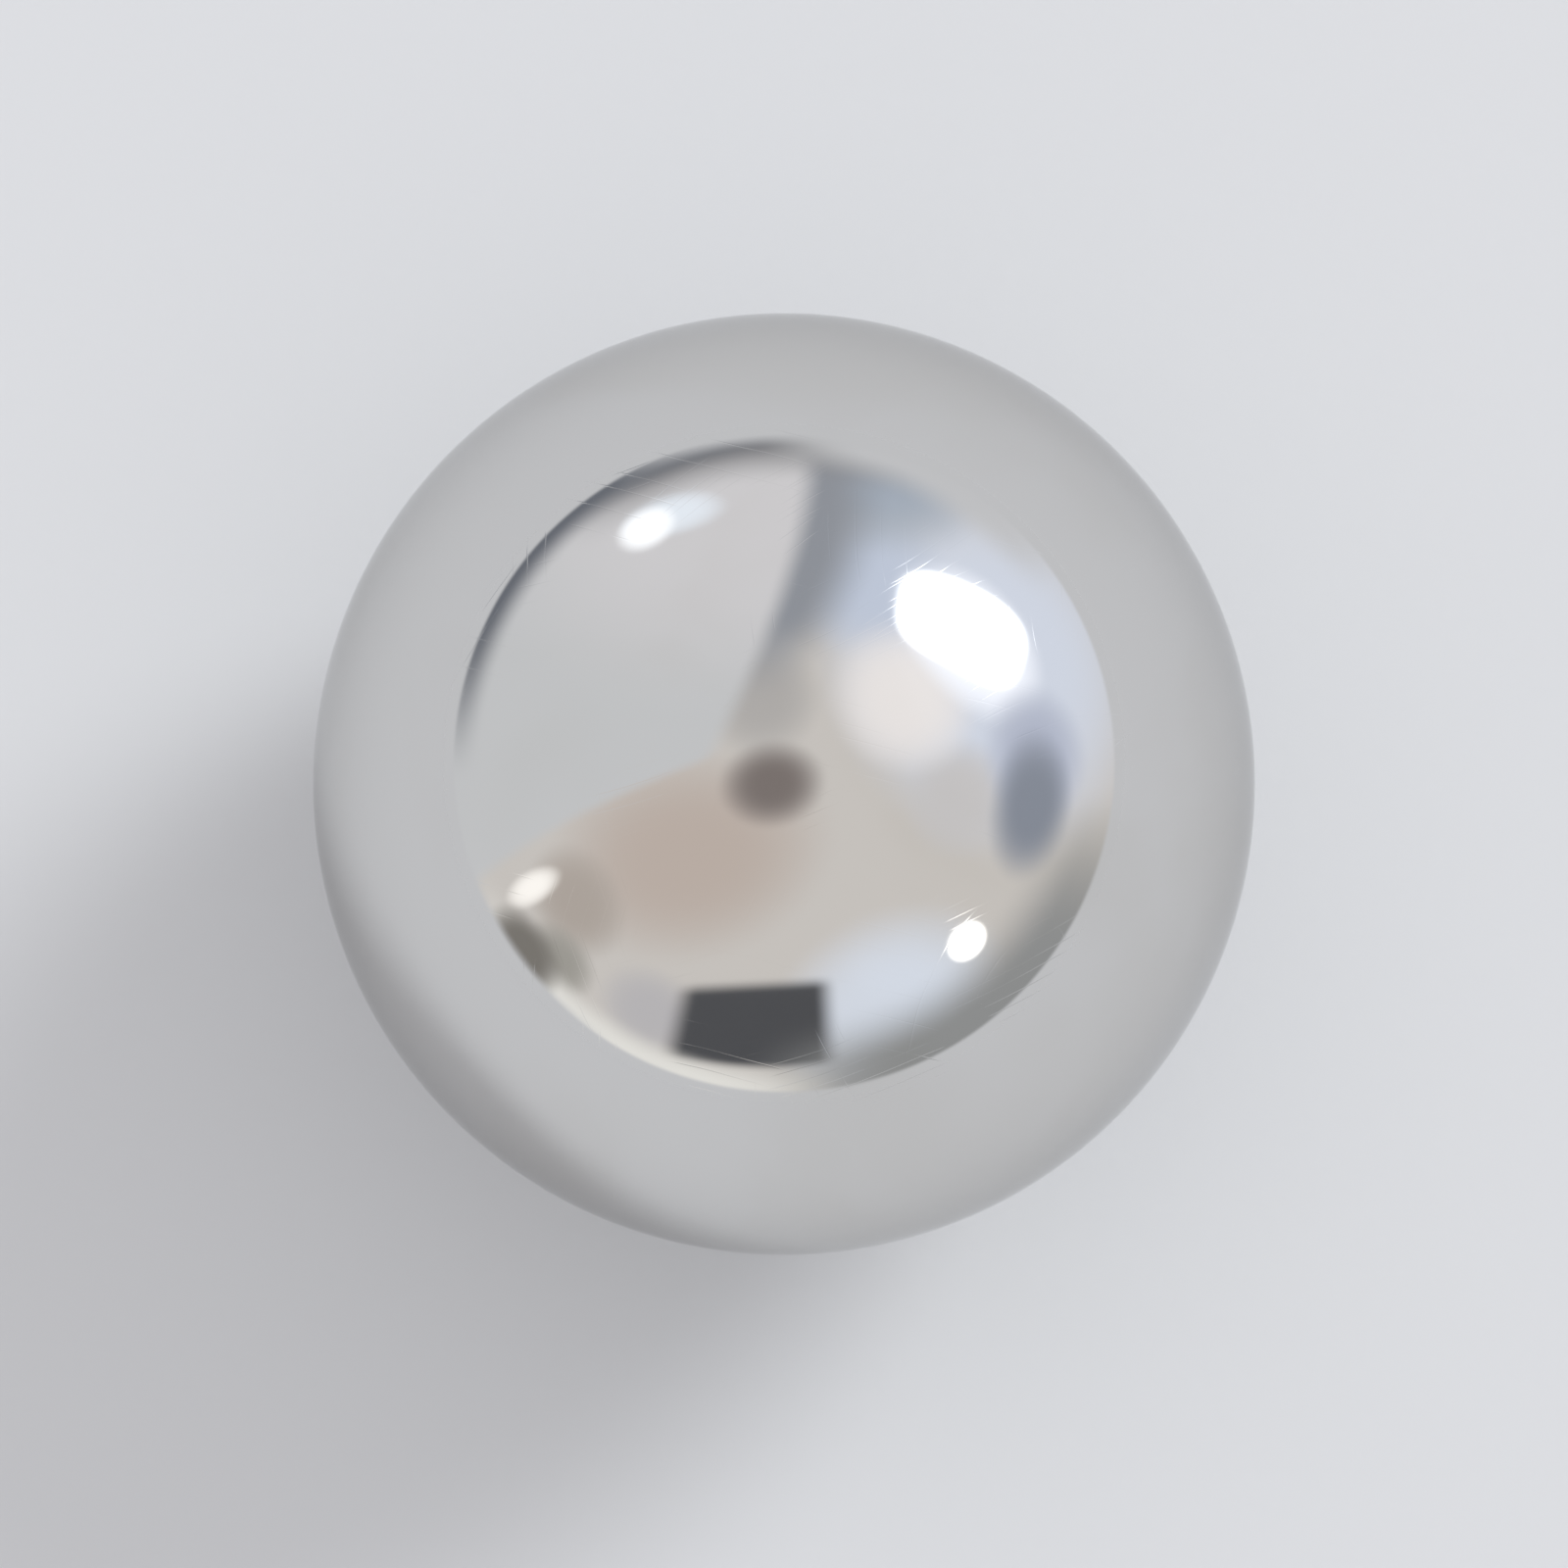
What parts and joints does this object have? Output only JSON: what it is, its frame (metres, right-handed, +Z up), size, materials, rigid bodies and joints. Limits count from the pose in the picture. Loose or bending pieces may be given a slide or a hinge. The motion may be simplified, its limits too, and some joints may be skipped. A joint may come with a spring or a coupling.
{
  "type": "steel ball",
  "caption": "Loose solid steel ball, ground round and lapped to a mirror polish, as used in bearings, valves, detents and bench mixing.",
  "frame": {"origin": "the ball's centre", "axes": "+Z up, away from what the ball rests on; the ball is the same about every axis, so +X and +Y are free"},
  "size_m": [0.008, 0.008, 0.008],
  "materials": {
    "polished_steel": "polished"
  },
  "bodies": {
    "root": {"ball": "polished_steel"}
  },
  "joints": []
}
